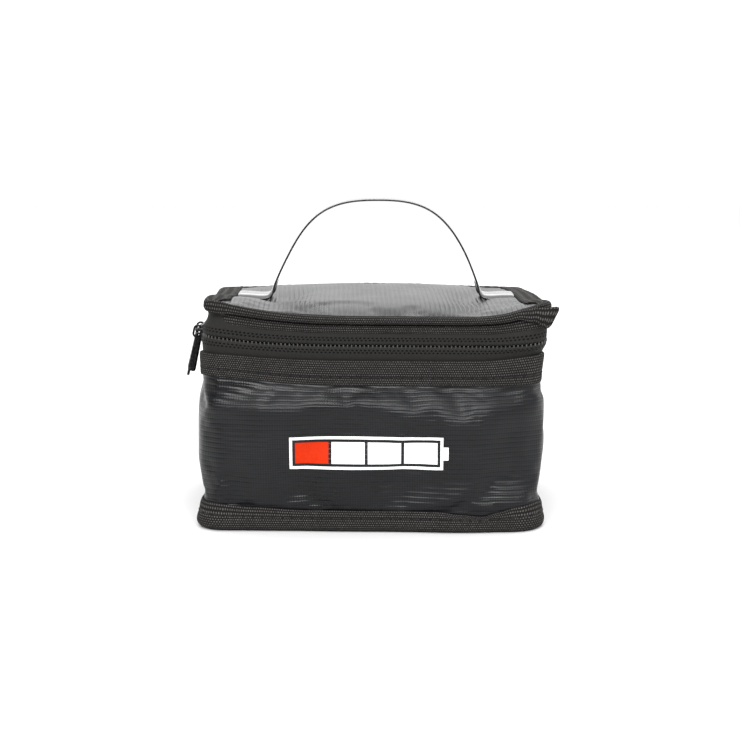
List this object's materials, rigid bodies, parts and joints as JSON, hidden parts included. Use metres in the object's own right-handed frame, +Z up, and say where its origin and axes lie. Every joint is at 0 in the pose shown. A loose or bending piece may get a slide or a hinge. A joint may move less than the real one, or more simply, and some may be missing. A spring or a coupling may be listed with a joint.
{
  "type": "battery safe bag",
  "caption": "Padded box-shaped pouch for lithium batteries: coated cloth walls, bound seams, a zip round three sides, a lid hinged at the back and an arched carrying strap on top.",
  "frame": {"origin": "on the floor, under the middle of the base", "axes": "+X to the pouch's right, +Y towards the back wall where the lid hinges, +Z up"},
  "size_m": [0.1665, 0.1214, 0.1496],
  "materials": {
    "coated_cloth": "semi-gloss coated grid-weave cloth",
    "foam": "matte foam",
    "lining": "satin coated glass cloth",
    "grosgrain": "matte ribbed tape",
    "thread": "matte thread",
    "zip_tape": "smooth matte woven tape",
    "zip_coil": "satin nylon",
    "strap_webbing": "smooth glossy webbing",
    "black_metal": "gloss black paint",
    "white_ink": "matte screen print",
    "red_ink": "matte screen print"
  },
  "bodies": {
    "pouch": {"base_panel": "coated_cloth", "base_padding": "foam", "base_liner": "lining", "base_binding": "grosgrain", "base_stitching": "thread", "wall_panel": "coated_cloth", "wall_padding": "foam", "wall_liner": "lining", "rim_tape": "grosgrain", "rim_stitching": "thread", "inner_rim_binding": "grosgrain", "hinge_band_lower": "coated_cloth", "lower_zip_tape": "zip_tape", "lower_zip_coil": "zip_coil", "mark_outline": "white_ink", "mark_cells": "white_ink", "mark_low_cell": "red_ink"},
    "lid": {"lid_panel": "coated_cloth", "lid_padding": "foam", "lid_liner": "lining", "lid_binding": "grosgrain", "lid_stitching": "thread", "inner_lid_binding": "grosgrain", "hinge_band_upper": "coated_cloth", "upper_zip_tape": "zip_tape", "upper_zip_coil": "zip_coil", "strap_end_left": "strap_webbing", "strap_end_right": "strap_webbing"},
    "handle": {"handle_strap": "strap_webbing"},
    "slider_front": {"slider_front": "black_metal"},
    "slider_rear": {"slider_rear": "black_metal"},
    "link_front": {"pull_link_front": "black_metal"},
    "link_rear": {"pull_link_rear": "black_metal"},
    "tab_front": {"pull_tab_front": "black_metal"},
    "tab_rear": {"pull_tab_rear": "black_metal"}
  },
  "joints": [
    {"name": "lid_hinge", "type": "hinge", "parent": "pouch", "child": "lid", "pos_m": [0, 0.0567, 0.089], "axis": [-1, 0, 0], "range_deg": [0, 140]},
    {"name": "handle_tilt", "type": "hinge", "parent": "lid", "child": "handle", "pos_m": [0, 0, 0.103], "axis": [1, 0, 0], "range_deg": [-45, 45]},
    {"name": "slider_front_slide", "type": "slide", "parent": "pouch", "child": "slider_front", "axis": [0, 1, 0], "range_m": [-0.004, 0]},
    {"name": "slider_rear_slide", "type": "slide", "parent": "pouch", "child": "slider_rear", "axis": [0, 1, 0], "range_m": [0, 0.067]},
    {"name": "link_front_hinge", "type": "hinge", "parent": "slider_front", "child": "link_front", "pos_m": [-0.0802, -0.038, 0.0906], "axis": [0, 1, 0], "range_deg": [0, 120]},
    {"name": "link_rear_hinge", "type": "hinge", "parent": "slider_rear", "child": "link_rear", "pos_m": [-0.0802, -0.026, 0.0906], "axis": [0, 1, 0], "range_deg": [0, 120]},
    {"name": "tab_front_hinge", "type": "hinge", "parent": "link_front", "child": "tab_front", "pos_m": [-0.08106, -0.038, 0.0869], "axis": [0.9744, 0, -0.225], "range_deg": [-60, 15]},
    {"name": "tab_rear_hinge", "type": "hinge", "parent": "link_rear", "child": "tab_rear", "pos_m": [-0.08106, -0.026, 0.0869], "axis": [0.9744, 0, -0.225], "range_deg": [-15, 60]}
  ]
}
